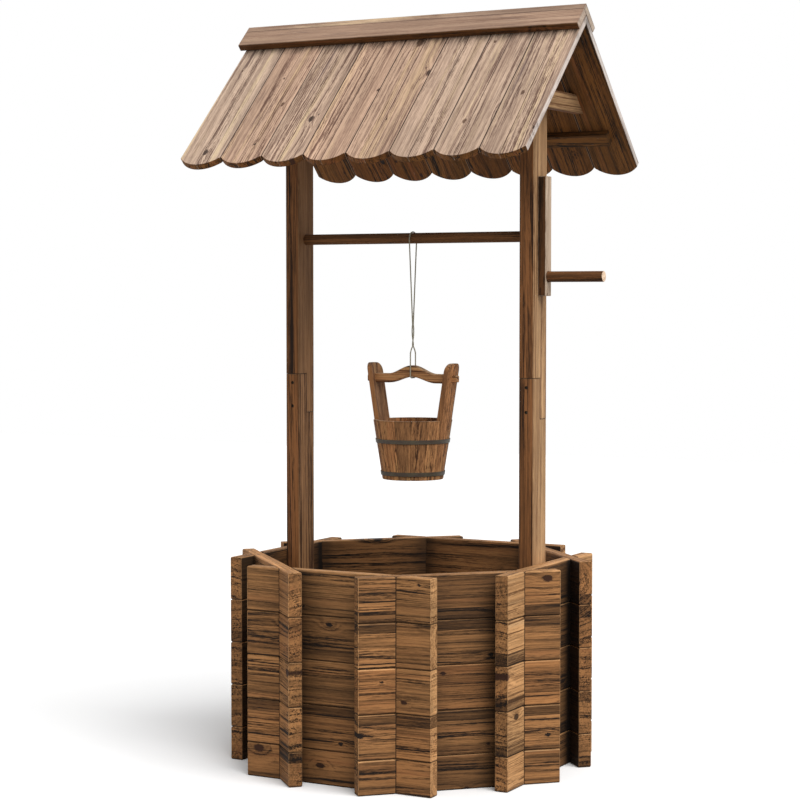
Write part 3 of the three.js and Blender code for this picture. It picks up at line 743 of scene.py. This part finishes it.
def wood_kinds():
    """Each kind of wooden piece, by its slot: its body, material and slot."""
    umber = {"early": (126, 81, 40), "late": (20, 12, 6)}
    weathered = {**umber, "ashen": (112, 92, 88), "cream": (212, 184, 146), "tinged": 0.65, "shade": 0.07,
                 "hue": 0.7, "bleach_and_light_dir": (0.6, 0, 0.8), "bleach_and_light_to": 0.52}
    # each direction of bleaching makes the faces that look that way paler, by bleaching and by painted light;
    # glare is a painted highlight on faces towards +X
    woods = {
        "wall_board": wood(
            "wall_wood", early=(172, 121, 76), late=(30, 18, 10), pale=(216, 163, 112), dull=(118, 80, 48),
            ashen=(84, 56, 36), bleach_and_light_dir=(0.75, 0, 0.66), bleach_and_light_from=0.55, bleach_and_light_to=0.8, wear_and_painted_light=wall_painted_light,
            contrast=1.6, fine=1.15, specks=0.4, arris=0.65, patchy=1.6),
        "floor_board": wood("floor_wood", **umber, pale=(150, 112, 78), dull=(84, 58, 38), burn=0.3),
        "post": wood(
            "post_wood", early=(150, 99, 59), late=(42, 25, 14), pale=(200, 158, 116), dull=(112, 76, 50),
            ashen=(90, 62, 42), tinge=(168, 110, 76), bleach_and_light_dir=(1, 0, 0.1), wear_and_painted_light=post_stains_and_painted_shade, knot_share=0.12,
            burn=0.05, contrast=1.8, broad=1.1, flecked=0.8, stretch=1.4, shade=0.02, hue=0.1),
        "roof_board": wood(
            "roof_wood", **weathered, pale=(199, 169, 148), dull=(106, 80, 69), glare=(255, 240, 234),
            glared=0.85, wear_and_painted_light=roof_stains_and_painted_light, knot_share=0.55, burn=0.85, contrast=1.45, fine=1.2, specks=0.55,
            flecked=1.5, arris=0.0, joint=0.85),
        "ridge_cap": wood(
            "cap_wood", **weathered, pale=(177, 147, 127), dull=(130, 101, 85), glare=(236, 222, 208),
            glared=0.5, knot_share=0.1, burn=0.2, contrast=0.9, lines=0.3, arris=0.3),
        "roller": wood(
            "roller_wood", early=(130, 86, 50), late=(58, 36, 20), pale=(130, 92, 62), dull=(78, 52, 34),
            bleach_and_light_dir=(0, 0, 1), ring=0.003, knot_share=0.1, arris=0.2),
        "crank": wood(
            "crank_wood", early=(98, 62, 32), late=(36, 21, 9), pale=(226, 200, 176), dull=(176, 148, 126),
            ashen=(120, 92, 76), bleach_and_light_dir=(1, 0, 0.05), wear_and_painted_light=crank_wear, ring=0.0034, knot_share=0.8,
            contrast=1.6),
        "stave": wood(
            "stave_wood", early=(199, 138, 90), late=(62, 34, 20), pale=(190, 152, 120), dull=(104, 68, 48),
            tinge=(206, 158, 104), tinged=0.75, bleach_and_light_dir=(0.5, 0, 0.85), bleach_and_light_from=0.45, bleach_and_light_to=0.85,
            ring=0.0030, knot_share=0.10, contrast=1.4, fine=1.5, stretch=3.5, flecked=0.2, specks=0.1,
            arris=0.0, shade=0.24, hue=1.0),
    }
    bodies = {"roller": "windlass", "crank": "windlass", "stave": "bucket"}
    return {slot: (bodies.get(slot, "well_frame"), material, slot) for slot, material in woods.items()}


# Planter
def wall_boards(kind):
    """Each wall board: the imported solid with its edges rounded."""
    for index, wall in enumerate(WALLS):
        along = unit(360 * index / len(WALLS))
        for course in range(1, COURSES + 1):
            node = f"{wall}_wall_board_{course}"
            board(f"{wall}_board_{course}", eased(solid_of(node), WALL_EDGE), kind, node, along, Z,
                  flat_share=0.12, strip_share=0.4)


def planter_floor(kind):
    """Bearers along X on the ground and slats along Y on them, cut to the octagon."""
    node = "planter_floor"
    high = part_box(node)[1]
    first = 180 / len(WALLS)
    corner = high.x / cos(radians(first))
    inside = circle(Vector(), corner, unit(first), unit(first + 90), len(WALLS))
    planks("floor_bearer", inside, Y, BEARERS, BEARER_SPACING, BEARER_WIDTH, 0, BEARER_HEIGHT - SEAT_GAP,
           BOARD_EDGE, kind, node)
    pitch = 2 * high.x / SLATS
    planks("floor_slat", inside, X, SLATS, pitch, pitch - SLAT_GAP, BEARER_HEIGHT, high.z,
           BOARD_EDGE, kind, node)


# Posts
def cut(bm, faces, place, normal):
    """Cuts these faces along a plane and keeps both sides."""
    geom = dict.fromkeys(part for face in faces for part in (face, *face.edges, *face.verts))
    bmesh.ops.bisect_plane(bm, geom=list(geom), plane_co=place, plane_no=normal, dist=NEAR)


def post_length(node, above):
    """The lower or the upper length of a post. In the lap, the lower one is the front half."""
    bm = solid_of(node)
    low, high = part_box(node)
    shift = SEAT_GAP / 2 if above else -SEAT_GAP / 2
    foot, top, middle = LAP_FOOT + shift, LAP_TOP + shift, (low.y + high.y) / 2 + shift
    for level in (foot, top):
        cut(bm, bm.faces, Z * level, Z)
    cut(bm, [f for f in bm.faces if foot < f.calc_center_median().z < top], Y * middle, Y)
    places = [(face, face.calc_center_median()) for face in bm.faces]
    others = [face for face, at in places if (at.z > top or (at.z > foot and at.y > middle)) != above]
    bmesh.ops.delete(bm, geom=others, context="FACES")

    def close(u, v, chosen):
        """One flat face over the chosen corners, which lie in a plane along u and v."""
        corners = [corner for corner in bm.verts if chosen(*corner.co)]
        centre = sum((corner.co for corner in corners), Vector()) / len(corners)

        def bearing(corner):
            return atan2((corner.co - centre).dot(v), (corner.co - centre).dot(u))

        bm.faces.new(sorted(corners, key=bearing))

    close(X, Y, lambda x, y, z: abs(z - top) < NEAR and y < middle + NEAR)
    close(X, Y, lambda x, y, z: abs(z - foot) < NEAR and y > middle - NEAR)
    close(X, Z, lambda x, y, z: abs(y - middle) < NEAR and foot - NEAR < z < top + NEAR)
    return eased(flattened(bm), POST_EDGE)


def drilled(bm, middle_x, face_y):
    """The same length of post with a blind hole for each screw in its front face."""
    front = max(bm.faces, key=lambda f: -f.normal.y * f.calc_area())
    rim = list(front.edges)
    bmesh.ops.delete(bm, geom=[front], context="FACES_ONLY")
    for height in SCREW_HEIGHTS:
        rings = []
        for y in (face_y, face_y + SCREW_HOLE_DEPTH):
            places = circle(Vector((middle_x, y, height)), SCREW_HOLE_RADIUS, X, Z, SCREW_SIDES)
            rings.append([bm.verts.new(place) for place in places])
        mouth, floor = rings
        for i in range(SCREW_SIDES):
            bm.faces.new((mouth[i - 1], mouth[i], floor[i], floor[i - 1]))
            rim.append(bm.edges.get((mouth[i - 1], mouth[i])))
        bm.faces.new(floor)
    bmesh.ops.triangle_fill(bm, edges=rim, normal=-Y, use_beauty=True)
    return bm


def post_screws(side, middle_x, face_y, kind):
    """Two dark screw heads, sunk in the front of a post where its lengths lap."""
    profile = ((SCREW_RADIUS - SCREW_CHAMFER, SCREW_SUNK), (SCREW_RADIUS, SCREW_SUNK + SCREW_CHAMFER),
               (SCREW_RADIUS, SCREW_HOLE_DEPTH - SEAT_GAP))
    for number, height in enumerate(SCREW_HEIGHTS, 1):
        rings = [circle(Vector((middle_x, face_y + depth, height)), radius, X, Z, SCREW_SIDES)
                 for radius, depth in profile]
        finished(f"{side}_post_screw_{number}", loft(rings), kind)


def posts_and_beams(kind, screw_kind):
    """The two posts, each of two lengths, and the two cross beams under the roof."""
    for side in ("left", "right"):
        node = f"{side}_post"
        low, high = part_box(node)
        middle_x = (low.x + high.x) / 2
        lower = drilled(post_length(node, above=False), middle_x, low.y)
        board(f"{side}_post_lower", lower, kind, node, Z, Y)
        board(f"{side}_post_upper", post_length(node, above=True), kind, node, Z, Y)
        post_screws(side, middle_x, low.y, screw_kind)
        node = f"{side}_cross_beam"
        board(f"{side}_beam_wood", eased(solid_of(node), BOARD_EDGE), kind, node, Y, Z)


# Roof
def slope_axes(side):
    """Along the ridge, up the slope and out of it."""
    turn = -1 if side == "back" else 1
    along = Vector((turn, 0, 0))
    up = Vector((0, turn * cos(ROOF_PITCH), sin(ROOF_PITCH)))
    return along, up, along.cross(up)


def slope_point(side, x, y, z):
    along, up, out = slope_axes(side)
    return Z * RIDGE_HEIGHT + along * x + up * y + out * z


def scallop_foot(x, left, right):
    """Where the round lower end of a board lies at one place across it."""
    half = (right - left) / 2
    radius = (half ** 2 + SCALLOP_DEPTH ** 2) / (2 * SCALLOP_DEPTH)
    return radius - SLOPE_LENGTH - sqrt(max(0, radius ** 2 - (x - (left + right) / 2) ** 2))


def board_columns(left, right, first, last):
    """Places across a roof board and the height of its face there: joints, and a middle groove."""
    middle = (left + right) / 2
    start, start_depth = (ROOF_EDGE, ROOF_EDGE) if first else (JOINT_HALF, JOINT_DEPTH)
    stop, stop_depth = (ROOF_EDGE, ROOF_EDGE) if last else (JOINT_HALF, JOINT_DEPTH)
    columns = [(left, -start_depth)]
    columns += [(x, 0) for x in spread(left + start, middle - MIDDLE_HALF, COLUMNS_PER_HALF)]
    columns.append((middle, -MIDDLE_DEPTH))
    columns += [(x, 0) for x in spread(middle + MIDDLE_HALF, right - stop, COLUMNS_PER_HALF)]
    columns.append((right, -stop_depth))
    return columns


def column_outline(foot, top, lower):
    """The cut through a roof board at one place across it, with a rounded lower end."""
    mitre = -SEAT_GAP / (2 * cos(ROOF_PITCH))
    outline = [(mitre + top * tan(ROOF_PITCH), top)]
    outline += [(foot + ROOF_EDGE * v, top - ROOF_EDGE * u) for u, v in QUARTER_ROUND]
    outline += [(foot + ROOF_EDGE * u, lower + ROOF_EDGE * v) for u, v in QUARTER_ROUND]
    outline.append((mitre + lower * tan(ROOF_PITCH), lower))
    return outline


def roof_boards(side, kind):
    """The boards of one slope with their round lower ends, and the batten that carries them."""
    node = f"{side}_roof_slope"
    length = 2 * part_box(node)[1].x
    along, up, _ = slope_axes(side)
    for i in range(ROOF_BOARDS):
        first, last = i == 0, i == ROOF_BOARDS - 1
        left = (i / ROOF_BOARDS - 1 / 2) * length + (0 if first else ROOF_KERF / 2)
        right = ((i + 1) / ROOF_BOARDS - 1 / 2) * length - (0 if last else ROOF_KERF / 2)
        rings, gaps = [], []
        for x, top in board_columns(left, right, first, last):
            at_side = x in (left, right)
            lower = -ROOF_THICKNESS + (ROOF_EDGE if at_side else 0)
            outline = column_outline(scallop_foot(x, left, right), top, lower)
            rings.append([slope_point(side, x, y, z) for y, z in outline])
            sunk = top < -ROOF_EDGE
            gaps += [sunk] * (len(outline) // 2) + [sunk and at_side] * (len(outline) // 2)
        piece = board(f"{side}_roof_board_{i + 1}", loft(rings), kind, node, up, along, crease_deg=28)
        store(piece.data, "roof", [(gap, 1, 0) for gap in gaps])
    head, foot = -BATTEN_FROM_RIDGE, -BATTEN_FROM_RIDGE - BATTEN_WIDTH
    over, under = -ROOF_THICKNESS - SEAT_GAP, -ROOF_THICKNESS - BATTEN_THICKNESS
    section = ((foot, under), (head, under), (head, over), (foot, over))
    ends = [[slope_point(side, x, y, z) for y, z in section] for x in (-BATTEN_REACH, BATTEN_REACH)]
    board(f"{side}_batten", eased(loft(ends), BOARD_EDGE), kind, node, along, up)


def ridge_caps(kind):
    for side in ("front", "back"):
        node = f"{side}_ridge_cap"
        along, up, _ = slope_axes(side)
        board(f"{side}_cap_board", eased(solid_of(node), CAP_EDGE), kind, node, along, up)


# Windlass
def turned_bar(node):
    """A round bar along X in the place of a node, with rounded ends."""
    low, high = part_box(node)
    radius, height = (high.z - low.z) / 2, (low.z + high.z) / 2
    stations = [(low.x + TURNED_EDGE * u, radius - TURNED_EDGE * v) for u, v in QUARTER_ROUND]
    stations += [(high.x - TURNED_EDGE * u, radius - TURNED_EDGE * v) for u, v in QUARTER_ROUND[::-1]]
    return loft([circle(Vector((x, 0, height)), reach, Y, Z, TURNED_SIDES) for x, reach in stations])


def windlass(roller_kind, crank_kind):
    """The roller, the crank arm and its peg."""
    board("roller_bar", turned_bar("roller"), roller_kind, "roller", X, Z, pith=(0.03, 0.02))
    board("crank_arm_board", eased(solid_of("crank_arm"), BOARD_EDGE), crank_kind, "crank_arm", Z, Y)
    board("crank_peg_bar", turned_bar("crank_peg"), crank_kind, "crank_peg", X, Z, pith=(0.028, 0.015))


# Bucket
class Bucket:
    """The cone that the bucket's pieces follow."""

    def __init__(self):
        low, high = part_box("bucket_tub")
        self.foot = low.z
        self.rim = high.z
        self.rim_radius = high.y

    def share(self, z):
        """How far up the staves a height is: 0 at the foot and 1 at the rim."""
        return (z - self.foot) / (self.rim - self.foot)

    def radius(self, z):
        return BUCKET_BASE_RADIUS + (self.rim_radius - BUCKET_BASE_RADIUS) * self.share(z)

    def tall_half(self, z):
        """Half the width of a tall stave below the rim."""
        at_foot = TALL_STAVE_HALF * BUCKET_BASE_RADIUS / self.rim_radius
        return at_foot + (TALL_STAVE_HALF - at_foot) * min(1, self.share(z))

    def side_angle(self, share, z, radius):
        """Where a side of a short stave lies: radial between two of them, and flat against a tall stave."""
        tall = asin((self.tall_half(z) + SEAT_GAP) / radius)
        fair = asin(TALL_STAVE_HALF / self.rim_radius)
        return {0: tall, 1: pi - tall}.get(share, fair + (pi - 2 * fair) * share)


def short_staves(bucket, kind):
    """Staves between the tall ones, each with its own rounded edges."""
    for side, start in (("back", 0), ("front", 180)):
        for i in range(STAVES_PER_SIDE):
            rings = []
            for z in spread(bucket.foot, bucket.rim, 2):
                ring = []
                for radius, order in ((bucket.radius(z), 1), (bucket.radius(z) - STAVE_THICKNESS, -1)):
                    first, last = (bucket.side_angle(k / STAVES_PER_SIDE, z, radius) for k in (i, i + 1))
                    gap = STAVE_GAP / 2 / radius
                    for angle in spread(first + gap, last - gap, STAVE_ARC_STEPS)[::order]:
                        ring.append(unit(start + degrees(angle)) * radius + Z * z)
                rings.append(ring)
            across = unit(start + 180 * (i + 0.5) / STAVES_PER_SIDE).cross(Z)
            board(f"{side}_stave_{i + 1}", eased(loft(rings), STAVE_EDGE), kind, "bucket_tub", Z, across)


def bucket_disc(bucket, kind):
    """The bottom, of boards let in above the foot of the staves."""
    foot = bucket.foot + DISC_LIFT
    radius = bucket.radius(foot) - STAVE_THICKNESS - SEAT_GAP
    width = 2 * radius / DISC_BOARDS
    planks("bucket_bottom", circle(Vector(), radius, X, Y, DISC_SIDES), X, DISC_BOARDS, width,
           width - STAVE_GAP, foot, foot + DISC_THICKNESS, DISC_EDGE, kind, "bucket_tub")


def tall_staves(kind):
    for side in ("left", "right"):
        node = f"{side}_tall_stave"
        board(f"{side}_tall_stave_wood", eased(solid_of(node), TALL_STAVE_EDGE), kind, node, Z, Y)


def handle_ring(bucket, x, section=None):
    """One cut through the arched handle, or through a tenon where a section is given."""
    share = (1 + cos(pi * min(1, abs(x) / (HANDLE_ARCH_LENGTH / 2)))) / 2
    top = bucket.rim + HANDLE_ABOVE_RIM - HANDLE_ARCH * (1 - share)
    height = HANDLE_END_HEIGHT + (HANDLE_MIDDLE_HEIGHT - HANDLE_END_HEIGHT) * share
    points = section or rounded(HANDLE_THICKNESS, height, HANDLE_CORNER, HANDLE_CORNER_STEPS)
    return [Vector((x, y, top - height / 2 + z)) for y, z in points]


def against_stave(bucket, x, section=None):
    """The same cut moved out to the inner face of a tall stave."""
    ring = handle_ring(bucket, x, section)
    for point in ring:
        inner = bucket.radius(point.z) - STAVE_THICKNESS - SEAT_GAP
        point.x = copysign(sqrt(inner ** 2 - point.y ** 2), x)
    return ring


def bucket_handle(bucket, kind):
    """The arched bar, its shoulders against the tall staves and its tenons through them."""
    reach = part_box("bucket_handle")[1].x
    tenon, tip = (
        rounded(TENON_THICKNESS - less, TENON_HEIGHT - less, TENON_EDGE, HANDLE_CORNER_STEPS)
        for less in (0, 2 * TENON_EDGE))
    half_arch = HANDLE_ARCH_LENGTH / 2

    def end(sign):
        """Rings from the arch outwards on one side."""
        return [
            against_stave(bucket, sign * half_arch),
            against_stave(bucket, sign * half_arch, tenon),
            handle_ring(bucket, sign * (reach - TENON_EDGE), tenon),
            handle_ring(bucket, sign * reach, tip),
        ]

    arch = [handle_ring(bucket, x) for x in spread(-half_arch, half_arch, HANDLE_STATIONS)]
    bar = loft(end(-1)[::-1] + arch + end(1))
    board("bucket_handle_bar", bar, kind, "bucket_handle", X, Z, crease_deg=34, pith=(-0.06, 0.02))


def band(bucket, middle, outside, thickness, height, edge, steps, turns, closed=False):
    """A band this far outside the staves, through these turns in degrees."""
    section = [(bucket.radius(middle + z) + outside + thickness / 2 + across, middle + z)
               for across, z in rounded(thickness, height, edge, steps)]
    return loft([[unit(turn) * radius + Z * z for radius, z in section] for turn in turns], closed)


def hoops(bucket, kind):
    """Two bands round the staves, each lapped at the back and riveted there."""
    for name in ("upper_hoop", "lower_hoop"):
        low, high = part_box(name)
        height, middle = high.z - low.z, (low.z + high.z) / 2
        turns = spread(0, 360, HOOP_SIDES)[:-1]
        hoop = band(bucket, middle, SEAT_GAP, HOOP_THICKNESS, height, HOOP_EDGE, HOOP_EDGE_STEPS, turns, True)
        finished(f"{name}_band", hoop, kind, [name])
        outside = SEAT_GAP + HOOP_THICKNESS
        turns = spread(90 - OVERLAP_HALF_DEG, 90 + OVERLAP_HALF_DEG, OVERLAP_STEPS)
        overlap = band(bucket, middle, outside, OVERLAP_THICKNESS, height * OVERLAP_HEIGHT_SHARE,
                       OVERLAP_EDGE, OVERLAP_EDGE_STEPS, turns)
        finished(f"{name}_lap", overlap, kind)
        face = bucket.radius(middle) + outside + OVERLAP_THICKNESS
        for number, sign in ((1, -1), (2, 1)):
            out = unit(90 + sign * OVERLAP_HALF_DEG / 2)
            base = out * face + Z * middle
            side = out.cross(Z)
            dome = [circle(base + out * (RIVET_DOME * lift), RIVET_RADIUS * reach, side, Z, RIVET_SIDES)
                    for reach, lift in RIVET_PROFILE]
            finished(f"{name}_rivet_{number}", loft(dome), kind)


# Cord
def spline(points, step):
    """Evenly spaced points on a smooth curve through the given ones."""
    points = [Vector(p) for p in points]
    ends = [points[0] * 2 - points[1], *points, points[-1] * 2 - points[-2]]
    fine = []
    for a, b, c, d in zip(ends, ends[1:], ends[2:], ends[3:]):
        for t in spread(0, 1, SPLINE_STEPS)[:-1]:
            fine.append(0.5 * (2 * b + (c - a) * t + (2 * a - 5 * b + 4 * c - d) * t ** 2
                               + (3 * b - a - 3 * c + d) * t ** 3))
    fine.append(points[-1])
    places = np.array(fine)
    along = np.concatenate([[0], np.cumsum(np.linalg.norm(np.diff(places, axis=0), axis=1))])
    at = np.linspace(0, along[-1], max(2, ceil(along[-1] / step)))
    return [Vector([np.interp(s, along, places[:, k]) for k in range(3)]) for s in at]


def rope_section():
    """The outline of three strands laid together, as (angle, radius)."""
    lobe = ROPE_LOBE_SHARE * CORD_DIAMETER / 2
    offset = CORD_DIAMETER / 2 - lobe
    pitch = 2 * pi / ROPE_LOBES
    outline = []
    for angle in spread(0, 2 * pi, ROPE_SIDES)[:-1]:
        near = (angle + pitch / 2) % pitch - pitch / 2
        reach = offset * cos(near) + sqrt(lobe ** 2 - (offset * sin(near)) ** 2)
        outline.append((angle, reach))
    return outline


def rope(name, points, body, material, stands_for):
    """A laid rope along a route."""
    path = spline(points, ROPE_STEP)
    section = rope_section()
    rings = []
    side = (path[1] - path[0]).orthogonal()
    for i, point in enumerate(path):
        ahead = (path[min(i + 1, len(path) - 1)] - path[max(i - 1, 0)]).normalized()
        side = (side - ahead * side.dot(ahead)).normalized()
        other = ahead.cross(side)
        turn = 2 * pi * i * ROPE_STEP / ROPE_LAY
        rings.append([point + (side * cos(angle + turn) + other * sin(angle + turn)) * reach
                      for angle, reach in section])
    piece = finished(name, loft(rings), (body, material, "cord"), [stands_for], crease_deg=80)
    return piece


def cords(material):
    """The loop of cord in four pieces: over the roller, the two strands, and round the handle."""
    low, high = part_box("roller")
    axis, radius = (low.z + high.z) / 2, (high.z - low.z) / 2
    beside = radius + ROLLER_CORD_GAP + CORD_DIAMETER / 2
    strand = (CORD_DIAMETER + STRAND_GAP) / 2
    handle_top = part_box("bucket_handle")[1].z
    sling_top = handle_top + SLING_HEIGHT
    twist_top = sling_top + TWIST_HEIGHT
    lean_top = axis - STRAND_UPRIGHT

    over = []
    for angle in spread(0, pi, ROLLER_STEPS):
        across = cos(angle)
        over.append((STRAND_LEAN * across, beside * across, axis + beside * sin(angle)))
    rope("cord_over_roller", over, "cord", material, "hanging_cord")

    for name, side in (("cord_front_strand", 1), ("cord_back_strand", -1)):
        points = [(0, side * strand, sling_top)]
        foot = sling_top + CORD_DIAMETER
        for share in spread(0, 1, TWIST_STEPS):
            angle = 2 * pi * TWIST_TURNS * share
            height = foot + (twist_top - foot) * share
            points.append((-side * strand * sin(angle), side * strand * cos(angle), height))
        for share in spread(0, 1, STRAND_STEPS)[1:]:
            y = -side * (strand + (beside - strand) * share)
            points.append((-side * STRAND_LEAN * share, y, twist_top + (lean_top - twist_top) * share))
        points.append((-side * STRAND_LEAN, -side * beside, axis))
        piece = rope(name, points, "cord", material, "hanging_cord")
        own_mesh(piece)

    side = HANDLE_THICKNESS / 2 + SEAT_GAP + CORD_DIAMETER / 2
    turn = HANDLE_CORNER + SEAT_GAP + CORD_DIAMETER / 2
    foot = handle_top - HANDLE_MIDDLE_HEIGHT - SEAT_GAP - CORD_DIAMETER / 2
    half = [(0, strand, sling_top)]
    for share in spread(0, 1, SLING_STEPS):
        opening = (side - strand) * sin(pi / 2 * share)
        half.append((0, strand + opening, sling_top - CORD_DIAMETER - SLING_FORK_HEIGHT * share))
    for angle in spread(0, pi / 2, SLING_STEPS):
        half.append((0, side - turn * (1 - cos(angle)), foot + turn * (1 - sin(angle))))
    rope("cord_sling_loop", half + [(x, -y, z) for x, y, z in half[::-1]], "bucket", material, "cord_sling")


# Camera, light and floor
def backed(name, data, back):
    """A new object that looks down its own -Z with its back turned this way."""
    thing = placed(name, data)
    thing.rotation_mode = "QUATERNION"
    thing.rotation_quaternion = Vector(back).to_track_quat("Z", "Y")
    return thing


def add_camera():
    data = bpy.data.cameras.new("camera")
    data.sensor_width = SENSOR_MM
    data.lens = SENSOR_MM * FOCAL_LENGTH_PX / IMAGE_SIDE_PX
    elevation = radians(CAMERA_ELEVATION_DEG)
    back = unit(CAMERA_AZIMUTH_DEG - 90) * cos(elevation) + Z * sin(elevation)
    camera = backed("camera", data, back)
    camera.location = CAMERA_PLACE
    bpy.context.scene.camera = camera


def add_light():
    data = bpy.data.lights.new("key", "SUN")
    data.energy = KEY_STRENGTH
    data.angle = radians(KEY_ANGLE_DEG)
    backed("key", data, KEY_FROM)
    world = Shader(bpy.data.worlds.new("world"), "Background")
    world.feed(world.inputs["Color"], (1, 1, 1, 1))
    world.feed(world.inputs["Strength"], world.seen_or_mirrored() * (1 - SKY_LEVEL) + SKY_LEVEL)
    bpy.context.scene.world = world.owner


def add_floor():
    shader = Shader(bpy.data.materials.new("floor_paint"))
    level = shader.seen_or_mirrored() * (FLOOR_SEEN_COLOUR - FLOOR_BOUNCE_COLOUR) + FLOOR_BOUNCE_COLOUR
    shader.feed(shader.inputs["Base Color"], shader.vector(level, level, level))
    shader.inputs["Roughness"].default_value = 1
    shader.inputs["Specular IOR Level"].default_value = 0
    bm = bmesh.new()
    bmesh.ops.create_grid(bm, x_segments=1, y_segments=1, size=FLOOR_HALF)
    with_material("floor", bm, shader.owner)


add_camera()
cords(cord_fibre())
kinds = wood_kinds()
wall_boards(kinds["wall_board"])
planter_floor(kinds["floor_board"])
steel = hoop_steel()
posts_and_beams(kinds["post"], ("well_frame", steel, "hoop"))
for slope_side in ("front", "back"):
    roof_boards(slope_side, kinds["roof_board"])
ridge_caps(kinds["ridge_cap"])
windlass(kinds["roller"], kinds["crank"])
cone = Bucket()
short_staves(cone, kinds["stave"])
bucket_disc(cone, kinds["stave"])
tall_staves(kinds["stave"])
bucket_handle(cone, kinds["stave"])
hoops(cone, ("bucket", steel, "hoop"))
add_light()
add_floor()
bpy.context.scene.view_settings.view_transform = "Standard"
